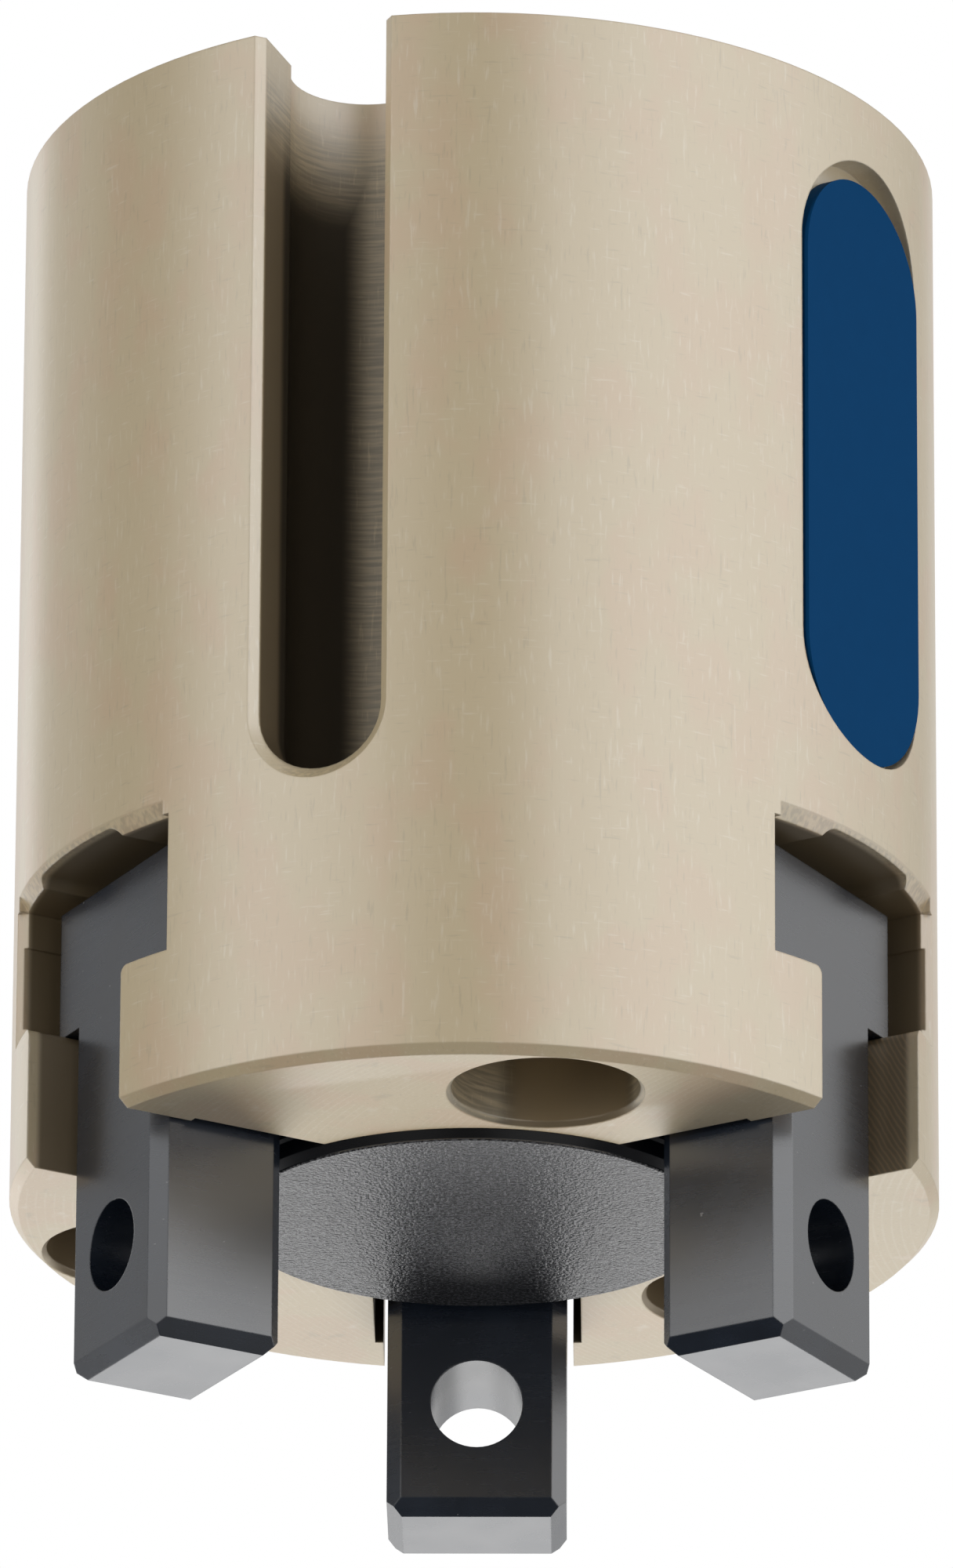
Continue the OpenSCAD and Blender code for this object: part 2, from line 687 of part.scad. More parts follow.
module seal_retaining_ring() {
    color("silver")
        retaining_ring(gland_r + ring_groove, gland_ring_w, gland_ring_z, gland_ring_t);
}

// Jaw along +X: stem with chamfered tip, guided foot, and the hook that the wedge drives
module jaw() {
    mid_r = (jaw_in_r + jaw_out_r) / 2;
    block_r = jaw_in_r + 1;
    color("darkslategray") difference() {
        union() {
            intersection() {
                translate([mid_r, 0, foot_z + foot_relief])
                    linear_extrude(height = tip_z - foot_z - foot_relief)
                        cut_corners(jaw_t, stem_w, stem_chamfer);
                across(big) bevelled_top(jaw_in_r, jaw_out_r);
                outwards(0, big) bevelled_top(-stem_w / 2, stem_w / 2);
            }
            sector_block(guide_in_r, jaw_out_r, foot_w, foot_z + foot_relief, foot_top);
            translate([0, 0, foot_z]) linear_extrude(height = foot_top - foot_z)
                polygon([[guide_in_r, -guide_w / 2], [guide_out_r - guide_chamfer, -guide_w / 2],
                         [guide_out_r, -foot_w / 2], [guide_out_r, foot_w / 2],
                         [guide_out_r - guide_chamfer, guide_w / 2], [guide_in_r, guide_w / 2]]);
            // Block between the foot and the sloped face of the wedge
            across(block_w)
                polygon([[wedge_face(block_z) + slide_gap, block_z], [block_r, block_z],
                         [block_r, block_top], [block_nose_r + slide_gap, block_top]]);
            intersection() {
                union() {
                    slanted_bar(-neck_t - slide_gap, 1, block_z, block_top, neck_w);
                    slanted_bar(-neck_t - head_t, -neck_t, block_z, block_top, head_w);
                }
                sector_block(head_nose_r, big, big, block_z, block_top);
            }
        }
        translate([0, 0, body_h + finger_hole_h]) rotate([0, 90, 0])
            cylinder(d = finger_hole_d, h = big);
    }
}

// Rectangle with its corners cut off
module cut_corners(x, y, c) {
    hx = x / 2;
    hy = y / 2;
    polygon([[hx, c - hy], [hx, hy - c], [hx - c, hy], [c - hx, hy],
             [-hx, hy - c], [-hx, c - hy], [c - hx, -hy], [hx - c, -hy]]);
}

// Upright outline from one side to the other, with the top corners cut off
module bevelled_top(a, b) {
    polygon([[a, 0], [b, 0], [b, tip_z - tip_chamfer], [b - tip_chamfer, tip_z],
             [a + tip_chamfer, tip_z], [a, tip_z - tip_chamfer]]);
}

module jaw_a() { rotate([0, 0, jaw_angles[0]]) jaw(); }
module jaw_b() { rotate([0, 0, jaw_angles[1]]) jaw(); }
module jaw_c() { rotate([0, 0, jaw_angles[2]]) jaw(); }

// Cap pressed into the front face, over the wedge chamber
module centre_cap() {
    rim_r = cap_seat_r - cap_gap;
    band_z = cap_seat_z + 0.4;
    top = body_h + cap_proud;
    color("#303236") rotate_extrude()
        polygon([[0, cap_seat_z], [rim_r - 0.3, cap_seat_z], [cap_seat_r, band_z],
                 [cap_seat_r, band_z + cap_band_h - 0.15], [rim_r, band_z + cap_band_h],
                 [rim_r, top - cap_chamfer], [rim_r - cap_chamfer, top], [0, top]]);
}

module name_plate() {
    floor_r = body_r - pocket_depth;
    color("midnightblue") rotate([0, 0, plate_angle]) outwards(floor_r, floor_r + plate_t)
        obround(pocket_w - 2 * plate_gap, pocket_start + plate_end_gap,
                pocket_start + pocket_len - plate_gap);
}

// Screws that close the ports in the mounting face
module direct_port_screws() {
    color("dimgray") for (angle = [port_low_angle, port_up_angle]) rotate([0, 0, angle])
        translate([direct_port_r, 0, direct_screw_z]) difference() {
            cylinder(d = direct_screw_d, h = direct_screw_len);
            hex_socket(direct_screw_d / 2, 0, direct_screw_len / 2);
        }
}

module direct_port_o_rings() {
    color("black") for (angle = [port_low_angle, port_up_angle]) rotate([0, 0, angle])
        translate([direct_port_r, 0, 0])
            o_ring(direct_screw_d / 2 + o_ring_r, direct_recess - o_ring_r, o_ring_r);
}

housing();
rear_cover();
cover_o_ring();
cover_retaining_ring();
rear_bumper();
piston();
piston_seal();
piston_guide_ring();
piston_magnet();
piston_screw();
spigot_o_ring();
wedge_hook();
rod_bush();
rod_seal();
seal_washer();
seal_retaining_ring();
front_bumper();
jaw_a();
jaw_b();
jaw_c();
centre_cap();
name_plate();
direct_port_screws();
direct_port_o_rings();
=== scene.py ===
"""Looks of a three jaw centric gripper: its finishes, its screw threads and a white studio round it."""

import json
import math

import bpy
import numpy as np
from bpy.props import FloatProperty, FloatVectorProperty, PointerProperty
from bpy.types import Operator, Panel, PropertyGroup
from mathutils import Matrix, Vector


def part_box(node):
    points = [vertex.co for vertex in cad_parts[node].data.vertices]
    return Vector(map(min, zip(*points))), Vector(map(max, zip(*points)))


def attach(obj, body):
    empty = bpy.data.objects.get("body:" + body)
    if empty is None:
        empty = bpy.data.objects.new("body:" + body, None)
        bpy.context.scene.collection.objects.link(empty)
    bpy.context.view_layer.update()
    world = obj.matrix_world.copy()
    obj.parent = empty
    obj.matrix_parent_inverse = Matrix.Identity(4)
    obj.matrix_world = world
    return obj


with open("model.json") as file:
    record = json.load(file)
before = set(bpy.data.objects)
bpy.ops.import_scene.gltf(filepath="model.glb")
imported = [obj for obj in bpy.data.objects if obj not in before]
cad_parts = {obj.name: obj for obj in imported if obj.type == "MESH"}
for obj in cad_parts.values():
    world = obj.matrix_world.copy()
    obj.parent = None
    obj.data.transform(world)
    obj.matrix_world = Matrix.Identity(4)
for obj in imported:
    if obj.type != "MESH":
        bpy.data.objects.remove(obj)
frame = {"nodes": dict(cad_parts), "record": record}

bl_info = {
    "name": "Three Jaw Centric Gripper",
    "version": (1, 0, 0),
    "blender": (4, 5, 0),
    "location": "3D View > Sidebar > Gripper",
    "description": "Finishes the parts of a pneumatic gripper, cuts its threads and sets up its studio",
    "category": "Object",
}

MM = 0.001
BODY_R, _, BODY_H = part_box("housing")[1]
MOUNTS = {mount["name"]: mount for mount in frame["record"]["mounts"]}

# The housing's finish changes over these stretches: a change begins at the first value and is whole at
# the second. They are radii and heights of the housing.
SKIN_RADII = (BODY_R - 0.2 * MM, BODY_R - 0.1 * MM)
FACE_HEIGHTS = (BODY_H - 0.05 * MM, BODY_H - 0.02 * MM)
# Inwards of DEEP_RADII the slot walls take a painted shade, the recess colour.
DEEP_RADII = (BODY_R - 0.4 * MM, BODY_R - 0.8 * MM)
JAW_SLOT_HEIGHTS = (38.3 * MM, 38.6 * MM)
MOUTH_HEIGHTS = (40 * MM, 39.6 * MM)
MOUTH_INNER_RADII = (BODY_R - 0.5 * MM, BODY_R - 0.4 * MM)
MOUTH_OUTER_RADII = (BODY_R - 0.04 * MM, BODY_R - 0.08 * MM)

# The sensor slot, by the distance outwards from the axis, sideways from its middle and up.
SENSOR_SLOT_AHEAD = (11 * MM, 12 * MM)
SENSOR_SLOT_ASIDE = (6 * MM, 5 * MM)
SENSOR_SLOT_HEIGHTS = (0.5 * MM, 4 * MM)
SENSOR_BORE_AHEAD = (19.6 * MM, 18.8 * MM)
# Painted light: one wall and the open end of the sensor slot, lit where the lamps reach into it.
PAINTED_LIGHT_ASIDE = (2.2 * MM, 0.8 * MM)
PAINTED_LIGHT_HEIGHTS = (7 * MM, 3 * MM)

# Chatter marks on the walls beside jaw_b, by the distance towards that jaw and up. The slope is how far
# a mark rises on its way outwards.
CHATTER_AHEAD = (15 * MM, 16 * MM)
CHATTER_HEIGHTS = (45.5 * MM, 46.5 * MM)
CHATTER_PITCH = 0.5 * MM
CHATTER_SLOPE = 1.7
CHATTER_SCATTER = 0.5 * MM

# Colours of the marks, and how strongly they and the deep walls' own shine show.
STROKE_COLOUR = (0.85, 0.78, 0.66, 1.0)
CREST_COLOUR = (0.9, 0.84, 0.72, 1.0)
CHATTER_COLOUR = (0.42, 0.29, 0.15, 1.0)
DARK_STROKES, LIGHT_STROKES = 0.42, 0.32
CRESTS, ARC_RELIEF = 0.12, 0.4
HATCH = 0.35
DEEP_METAL, DEEP_ROUGHNESS = 0.4, 0.1
FACE_ROUGHNESS = 0.12


# Node graphs


class Graph:
    """A shader's node tree. Its calls add nodes, and a socket that is given as a value is linked."""

    def __init__(self, tree):
        self.tree = tree
        tree.nodes.clear()

    def node(self, kind, inputs=(), **settings):
        """Adds a node, sets its settings and gives its inputs their values or links."""
        node = self.tree.nodes.new(kind)
        for name, value in settings.items():
            setattr(node, name, value)
        for key, value in dict(inputs).items():
            if isinstance(value, bpy.types.NodeSocket):
                self.tree.links.new(value, node.inputs[key])
            else:
                node.inputs[key].default_value = value
        return node

    def math(self, operation, first, second=0.0):
        """One arithmetic step on two numbers or sockets."""
        return self.node("ShaderNodeMath", {0: first, 1: second}, operation=operation).outputs[0]

    def times(self, first, *others):
        """Product of several numbers or sockets."""
        for other in others:
            first = self.math("MULTIPLY", first, other)
        return first

    def plus(self, first, second):
        """Sum of two numbers or sockets."""
        return self.math("ADD", first, second)

    def rest(self, share):
        """What a share leaves of 1."""
        return self.math("SUBTRACT", 1.0, share)

    def vector(self, operation, first, second=(0.0, 0.0, 0.0)):
        """One arithmetic step on two vectors."""
        return self.node("ShaderNodeVectorMath", {0: first, 1: second}, operation=operation)

    def point(self):
        """The shaded point's place on the object."""
        return self.node("ShaderNodeTexCoord").outputs["Object"]

    def distance(self, point, direction):
        """How far a point lies along a level direction, given by its X and Y."""
        level = (direction[0], direction[1], 0.0)
        return self.vector("DOT_PRODUCT", point, level).outputs["Value"]

    def step(self, value, begin, whole):
        """Rises smoothly from 0 to 1 while value goes from begin to whole, which may be the lower one."""
        inputs = {"Value": value, "From Min": begin, "From Max": whole}
        return self.node("ShaderNodeMapRange", inputs, interpolation_type="SMOOTHSTEP").outputs[0]

    def noise(self, coordinates, frequency, detail=2.0, roughness=0.5):
        """Noise from 0 to 1, with frequency in waves a metre along each axis."""
        scaled = self.vector("MULTIPLY", coordinates, frequency).outputs[0]
        inputs = {"Vector": scaled, "Scale": 1.0, "Detail": detail, "Roughness": roughness}
        return self.node("ShaderNodeTexNoise", inputs).outputs["Fac"]

    def mix(self, share, first, second):
        """Blends two colours."""
        node = self.node("ShaderNodeMix", data_type="RGBA")
        for socket, value in ((node.inputs[0], share), (node.inputs[6], first), (node.inputs[7], second)):
            if isinstance(value, bpy.types.NodeSocket):
                self.tree.links.new(value, socket)
            else:
                socket.default_value = value
        return node.outputs[2]

    def bump(self, height, depth, normal=None):
        """Raises the surface by depth metres where height is 1."""
        inputs = {"Height": height, "Distance": depth, "Strength": 1.0}
        if normal is not None:
            inputs["Normal"] = normal
        return self.node("ShaderNodeBump", inputs).outputs[0]


def shade(colour, factor):
    """A colour made lighter or darker, with full opacity."""
    return tuple(min(1.0, channel * factor) for channel in colour[:3]) + (1.0,)


def new_material(name):
    """An empty node material and its graph."""
    material = bpy.data.materials.new(name)
    material.use_nodes = True
    return material, Graph(material.node_tree)


def surface(graph, inputs):
    """Adds the surface shader with these inputs and sends it to the output."""
    shader = graph.node("ShaderNodeBsdfPrincipled", inputs)
    graph.node("ShaderNodeOutputMaterial", {"Surface": shader.outputs[0]})
    return shader


def coat_nodes(material, *nodes):
    """Gives CAD nodes a material in all their slots."""
    for name in nodes:
        slots = frame["nodes"][name].data.materials
        for index in range(len(slots)):
            slots[index] = material
        if not slots:
            slots.append(material)


# Finishes


def turning_lines(graph, point, finish):
    """Noise drawn out into lines round the housing, and into lines along it."""
    pitch, length = finish.line_pitch, finish.line_length
    around = graph.noise(point, (1 / length, 1 / length, 1 / pitch))
    along = graph.noise(point, (1 / pitch, 1 / pitch, 1 / length))
    return around, along


def strokes(graph, around, along):
    """The lightest and the darkest stretches of the turning lines, as two masks."""
    light = graph.math("MAXIMUM", graph.step(around, 0.63, 0.78), graph.step(along, 0.59, 0.76))
    dark = graph.math("MAXIMUM", graph.step(around, 0.37, 0.22), graph.step(along, 0.4, 0.24))
    return light, dark


def milling_arcs(graph, point, axes, finish):
    """Waves from -1 to 1 along arcs of the cutter's radius, a feed apart, that fade in and out."""
    reach = graph.math("POWER", axes["Y"], 2.0)
    rise = graph.math("SQRT", graph.math("SUBTRACT", finish.cutter_radius ** 2, reach))
    sweep = graph.math("SUBTRACT", axes["X"], rise)
    arcs = graph.math("SINE", graph.times(sweep, 2 * math.pi / finish.cutter_feed))
    return graph.times(arcs, graph.noise(point, (400.0, 400.0, 400.0)))


def skin_tone(graph, point, colour, light, dark):
    """The anodised colour with faint warm clouds and with light and dark strokes."""
    warm = (colour[0] * 1.02, colour[1] * 0.95, colour[2] * 0.96, 1.0)
    cloud = graph.noise(point, (260.0, 260.0, 160.0), 3.0)
    tone = graph.mix(graph.step(cloud, 0.46, 0.62), shade(colour, 1.0), warm)
    tone = graph.mix(graph.times(dark, DARK_STROKES), tone, shade(colour, 0.7))
    return graph.mix(graph.times(light, LIGHT_STROKES), tone, STROKE_COLOUR)


def chatter_marks(graph, point, height):
    """Slanting marks of a tool that shook, on the walls beside jaw_b."""
    ahead = graph.distance(point, Vector(MOUNTS["finger_hole_b"]["pos_m"]).to_2d().normalized())
    slant = graph.math("SUBTRACT", height, graph.times(ahead, CHATTER_SLOPE))
    scatter = graph.times(graph.noise(point, (900.0, 900.0, 900.0)), CHATTER_SCATTER)
    waves = graph.math("SINE", graph.times(graph.plus(slant, scatter), 2 * math.pi / CHATTER_PITCH))
    near = graph.times(graph.step(ahead, *CHATTER_AHEAD), graph.step(height, *CHATTER_HEIGHTS))
    return graph.times(graph.step(waves, -0.2, 0.9), near)


def painted_light_tone(graph, point, colour, light):
    """The anodised colour painted as light where lamps reach into the sensor slot, with fine marks across
    the slot.
    """
    marks = graph.step(graph.noise(point, (350.0, 350.0, 6000.0), 3.0), 0.35, 0.7)
    marks = graph.plus(graph.times(marks, 0.7), graph.times(light, 0.5))
    return graph.mix(marks, shade(colour, 0.45), shade(colour, 1.0))


def mouth_mask(graph, radius, height):
    """Picks out the chamfers at the low ends of the jaws' slots."""
    inside = graph.step(radius, *MOUTH_INNER_RADII)
    outside = graph.step(radius, *MOUTH_OUTER_RADII)
    return graph.times(
        inside, outside, graph.step(height, *JAW_SLOT_HEIGHTS), graph.step(height, *MOUTH_HEIGHTS)
    )


def anodised_aluminium(finish):
    """Champagne anodised aluminium with the marks of turning and milling.

    Cut lines run round the housing at the given pitch and break up after the given length, and others
    run along it. They show as light and dark strokes and as a faint relief, which is deeper off the
    skin. On the front face the cutter leaves arcs of one radius, a feed apart, and the chamfers at the
    low ends of the jaws' slots are hatched. The deep walls of the slots have the recess colour, a
    painted shade, and shine partly like bare metal. The painted shade is darkest, nearly black, in the
    bore behind the sensor slot, and the walls bear chatter marks beside jaw_b. One wall and the open end
    of the sensor slot have painted light: the plain anodised colour with fine marks, where lamps reach
    in. Roughness is even over the skin, because noise in it makes dark dots.
    """
    material, graph = new_material("anodised_aluminium")
    point = graph.point()
    axes = graph.node("ShaderNodeSeparateXYZ", {0: point}).outputs
    height = axes["Z"]
    flat = graph.vector("MULTIPLY", point, (1.0, 1.0, 0.0)).outputs[0]
    radius = graph.vector("LENGTH", flat).outputs["Value"]
    skin = graph.step(radius, *SKIN_RADII)
    face = graph.step(height, *FACE_HEIGHTS)

    colour = finish.colour[:]
    around, along = turning_lines(graph, point, finish)
    light, dark = strokes(graph, around, along)
    arcs = milling_arcs(graph, point, axes, finish)
    tone = skin_tone(graph, point, colour, light, dark)
    crests = graph.times(face, graph.step(arcs, 0.3, 0.55))
    tone = graph.mix(graph.times(crests, CRESTS), tone, CREST_COLOUR)

    out = Vector(MOUNTS["sensor_slot"]["pos_m"]).normalized()
    ahead = graph.distance(point, (out.x, out.y))
    aside = graph.distance(point, (-out.y, out.x))
    in_slot = graph.times(graph.step(ahead, *SENSOR_SLOT_AHEAD), graph.step(aside, *SENSOR_SLOT_ASIDE))
    bore = graph.times(in_slot, graph.step(ahead, *SENSOR_BORE_AHEAD))
    slots = graph.times(in_slot, graph.step(height, *SENSOR_SLOT_HEIGHTS))
    slots = graph.math("MAXIMUM", slots, graph.step(height, *JAW_SLOT_HEIGHTS))
    deep = graph.times(graph.step(radius, *DEEP_RADII), slots, graph.rest(face))
    # Painted light: that wall and the open end of the sensor slot take the plain anodised colour in place
    # of the painted shade.
    painted_light = graph.math(
        "MAXIMUM", graph.step(aside, *PAINTED_LIGHT_ASIDE), graph.step(height, *PAINTED_LIGHT_HEIGHTS)
    )
    painted_light = graph.times(in_slot, painted_light)

    # Painted shade on the deep walls: the recess colour, lighter by 1.35 outside the sensor slot, where
    # chatter marks lie beside jaw_b, plain in the sensor slot and nearly black in its bore.
    recess = finish.recess_shade_colour
    wall = graph.mix(chatter_marks(graph, point, height), shade(recess, 1.35), CHATTER_COLOUR)
    wall = graph.mix(in_slot, wall, shade(recess, 1.0))
    # Painted shade: the bore behind the sensor slot is nearly black.
    wall = graph.mix(bore, wall, shade(recess, 0.15))
    wall = graph.mix(painted_light, wall, painted_light_tone(graph, point, colour, light))
    tone = graph.mix(deep, tone, wall)
    metal = graph.times(deep, graph.rest(painted_light), DEEP_METAL, graph.plus(bore, 1.0))

    hatch = graph.step(graph.noise(point, (4500.0, 4500.0, 600.0), 1.0), 0.35, 0.65)
    hatched = graph.mix(hatch, shade(colour, 0.5), shade(colour, 1.25))
    tone = graph.mix(graph.times(mouth_mask(graph, radius, height), HATCH), tone, hatched)

    rough = graph.plus(graph.times(face, FACE_ROUGHNESS), finish.roughness)
    rough = graph.plus(rough, graph.times(graph.plus(deep, bore), DEEP_ROUGHNESS))
    lines = graph.times(graph.plus(around, along), 0.5)
    relief = graph.plus(lines, graph.times(arcs, face, ARC_RELIEF))
    relief = graph.times(relief, graph.math("SUBTRACT", 2.0, skin))
    edge = graph.node("ShaderNodeBevel", {"Radius": finish.edge_radius}, samples=4).outputs[0]
    surface(
        graph,
        {
            "Base Color": tone,
            "Metallic": metal,
            "Roughness": rough,
            "IOR": 2.7,
            "Normal": graph.bump(relief, finish.line_depth, edge),
        },
    )
    return material


def black_steel(finish):
    """Ground steel with a blue-black oxide skin, fine grinding lines and specks of wear."""
    material, graph = new_material("black_steel")
    point = graph.point()
    lines = graph.noise(point, (300.0, 300.0, 5000.0), 3.0)
    cloud = graph.noise(point, (260.0, 260.0, 200.0), 4.0, 0.6)
    colour = finish.colour[:]
    tone = graph.mix(graph.step(cloud, 0.3, 0.75), shade(colour, 0.8), shade(colour, 1.3))
    speck = graph.step(graph.noise(point, (2500.0, 2500.0, 5000.0), 1.0), 0.79, 0.82)
    tone = graph.mix(graph.times(speck, 0.5), tone, (0.3, 0.3, 0.3, 1.0))
    rough = graph.plus(graph.times(lines, 0.06), finish.roughness)
    rough = graph.plus(rough, graph.times(cloud, 0.08))
    edge = graph.node("ShaderNodeBevel", {"Radius": finish.edge_radius}, samples=4).outputs[0]
    surface(
        graph,
        {
            "Base Color": tone,
            "Roughness": rough,
            "IOR": 2.4,
            "Normal": graph.bump(lines, finish.line_depth, edge),
        },
    )
    return material


def grained_plastic(finish):
    """Black plastic. Its top face has the fine matt grain of an eroded mould."""
    material, graph = new_material("black_grained_plastic")
    point = graph.point()
    size = finish.grain_size
    grain = graph.noise(point, (1 / size, 1 / size, 1 / size))
    coarse = graph.noise(point, (0.4 / size, 0.4 / size, 0.4 / size))
    height = graph.node("ShaderNodeSeparateXYZ", {0: point}).outputs["Z"]
    cap_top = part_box("centre_cap")[1].z
    top = graph.step(height, cap_top - 0.1 * MM, cap_top - 0.05 * MM)
    relief = graph.times(graph.plus(grain, graph.times(coarse, 0.6)), top)
    colour = finish.colour[:]
    crumbs = graph.times(graph.step(grain, 0.4, 0.62), top)
    surface(
        graph,
        {
            "Base Color": graph.mix(crumbs, shade(colour, 0.2), shade(colour, 4.0)),
            "Roughness": finish.roughness,
            "IOR": 2.0,
            "Normal": graph.bump(relief, finish.grain_depth),
        },
    )
    return material


def blue_plate(finish):
    """Dark blue plate under a thin semi gloss film."""
    material, graph = new_material("blue_plate")
    film = graph.noise(graph.point(), (900.0, 900.0, 900.0))
    colour = finish.colour[:]
    surface(
        graph,
        {
            "Base Color": graph.mix(film, shade(colour, 0.96), shade(colour, 1.04)),
            "Roughness": 0.5,
            "Specular IOR Level": 0.01,
            "Normal": graph.bump(film, 0.001 * MM),
        },
    )
    return material


def turned_metal(name, colour, roughness, frequency=(300.0, 300.0, 7000.0)):
    """Bare metal with the fine rings that turning leaves."""
    material, graph = new_material(name)
    point = graph.point()
    rings = graph.noise(point, frequency, 3.0)
    cloud = graph.noise(point, (400.0, 400.0, 400.0), 3.0)
    tone = graph.mix(graph.step(rings, 0.3, 0.7), shade(colour, 0.88), shade(colour, 1.08))
    tone = graph.mix(graph.times(cloud, 0.3), tone, shade(colour, 0.8))
    surface(
        graph,
        {
            "Base Color": tone,
            "Metallic": 1.0,
            "Roughness": graph.plus(graph.times(rings, 0.12), roughness),
            "Normal": graph.bump(rings, 0.002 * MM),
        },
    )
    return material


def moulded(name, colour, roughness, grain=3000.0):
    """Rubber or plastic with the faint skin that moulding leaves, its grain in waves a metre."""
    material, graph = new_material(name)
    point = graph.point()
    skin = graph.noise(point, (grain, grain, grain))
    cloud = graph.noise(point, (500.0, 500.0, 500.0))
    surface(
        graph,
        {
            "Base Color": graph.mix(cloud, shade(colour, 0.85), shade(colour, 1.2)),
            "Roughness": graph.plus(graph.times(skin, 0.15), roughness),
            "Normal": graph.bump(skin, 0.003 * MM),
        },
    )
    return material


# Surfaces


def capped_tube(name, points):
    """Closed mesh of a tube: points[i, j] is corner j of its section i, and both ends are flat."""
    sections, corners = points.shape[:2]
    near = np.arange(sections - 1)[:, None] * corners
    far = near + corners
    corner = np.arange(corners)[None, :]
    next_corner = (corner + 1) % corners
    quad = (near + corner, far + corner, far + next_corner, near + next_corner)
    sides = np.stack(quad, axis=-1).reshape(-1, 4)
    last = (sections - 1) * corners
    ends = [list(reversed(range(corners))), list(range(last, last + corners))]
    mesh = bpy.data.meshes.new(name)
    mesh.from_pydata(points.reshape(-1, 3), [], sides.tolist() + ends)
    mesh.update()
    return mesh


def thread_ridge(name, origin, axis, bore_r, ridge, pitch, depth):
    """Ridge of an internal thread on the wall of a bore.

    A triangle of height ridge and width 0.8 pitch is carried along a helix of radius bore_r and the
    given pitch, from the mouth at origin inwards by depth. Its foot lies a little inside the wall, and
    its height fades to nearly nothing at both ends.
    """
    steps_per_turn, fades_per_turn, least_height = 40, 2.5, 0.02
    turns = depth / pitch
    steps = int(turns * steps_per_turn) + 1
    t = np.linspace(0.0, 1.0, steps)
    fade = np.clip(np.minimum(t, 1.0 - t) * turns * fades_per_turn, least_height, 1.0)
    turn = 2 * math.pi * turns * t
    foot, half_width = 0.02 * MM, 0.4 * pitch
    outline = np.array([[foot, -half_width], [-ridge, 0.0], [foot, half_width]])
    radial = bore_r + outline[None, :, 0] * np.where(outline[None, :, 0] < 0, fade[:, None], 1.0)
    height = depth * t[:, None] + outline[None, :, 1] * fade[:, None]
    inward = -Vector(axis).normalized()
    basis = inward.to_track_quat("Z", "Y").to_matrix()
    side, other = np.array(basis.col[0]), np.array(basis.col[1])
    points = (
        np.array(origin)
        + radial[..., None] * (np.cos(turn)[:, None, None] * side + np.sin(turn)[:, None, None] * other)
        + height[..., None] * np.array(inward)
    )
    return capped_tube(name, points)


def add_piece(name, mesh, material, body):
    """Puts a finished mesh into the scene, on its body and with its material slot."""
    mesh.materials.append(material)
    piece = bpy.data.objects.new(name, mesh)
    bpy.context.scene.collection.objects.link(piece)
    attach(piece, body)
    return piece


# Settings


class HousingFinish(PropertyGroup):
    """Anodised finish of the housing and the rear cover."""

    colour: FloatVectorProperty(
        name="Colour", description="Colour of the anodised layer", subtype="COLOR", size=3,
        default=(0.645, 0.525, 0.33), min=0, max=1,
    )
    roughness: FloatProperty(
        name="Roughness", description="Roughness of the turned skin", subtype="FACTOR",
        default=0.3, min=0, max=1,
    )
    # The recess colour is a painted shade that darkens the deep walls of the slots.
    recess_shade_colour: FloatVectorProperty(
        name="Recess colour", description="Colour of the deep walls of the slots",
        subtype="COLOR", size=3, default=(0.21, 0.155, 0.085), min=0, max=1,
    )
    edge_radius: FloatProperty(
        name="Edge radius", description="Rounding that the edges seem to have", unit="LENGTH",
        default=0.12 * MM, min=0,
    )
    cutter_radius: FloatProperty(
        name="Cutter radius", description="Radius of the milling arcs on the front face", unit="LENGTH",
        default=31 * MM, min=25 * MM,
    )
    cutter_feed: FloatProperty(
        name="Cutter feed", description="Spacing of the milling arcs", unit="LENGTH",
        default=0.45 * MM, min=0.1 * MM,
    )
    line_pitch: FloatProperty(
        name="Line pitch", description="Spacing of the turning lines", unit="LENGTH",
        default=0.16 * MM, min=0.02 * MM,
    )
    line_length: FloatProperty(
        name="Line length", description="Length of one turning line", unit="LENGTH",
        default=1.3 * MM, min=0.1 * MM,
    )
    line_depth: FloatProperty(
        name="Line depth", description="Depth of the turning lines", unit="LENGTH",
        default=0.002 * MM, min=0,
    )


class JawFinish(PropertyGroup):
    """Black oxide finish of the jaws."""

    colour: FloatVectorProperty(
        name="Colour", description="Colour of the oxide", subtype="COLOR", size=3,
        default=(0.012, 0.018, 0.03), min=0, max=1,
    )
    roughness: FloatProperty(
        name="Roughness", description="Roughness of the ground faces", subtype="FACTOR",
        default=0.2, min=0, max=1,
    )
    line_depth: FloatProperty(
        name="Line depth", description="Depth of the grinding lines", unit="LENGTH",
        default=0.0004 * MM, min=0,
    )
    edge_radius: FloatProperty(
        name="Edge radius", description="Rounding that the edges seem to have", unit="LENGTH",
        default=0.1 * MM, min=0,
    )


class CapFinish(PropertyGroup):
    """Grained black plastic of the centre cap."""

    colour: FloatVectorProperty(
        name="Colour", description="Colour of the plastic", subtype="COLOR", size=3,
        default=(0.022, 0.022, 0.024), min=0, max=1,
    )
    roughness: FloatProperty(
        name="Roughness", description="Roughness of the plastic", subtype="FACTOR",
        default=0.26, min=0, max=1,
    )
    grain_size: FloatProperty(
        name="Grain size", description="Spacing of the grain", unit="LENGTH",
        default=0.16 * MM, min=0.01 * MM,
    )
    grain_depth: FloatProperty(
        name="Grain depth", description="Depth of the grain", unit="LENGTH",
        default=0.08 * MM, min=0,
    )


class PlateFinish(PropertyGroup):
    """Plain name plate."""

    colour: FloatVectorProperty(
        name="Colour", description="Colour of the plate", subtype="COLOR", size=3,
        default=(0.004, 0.056, 0.165), min=0, max=1,
    )


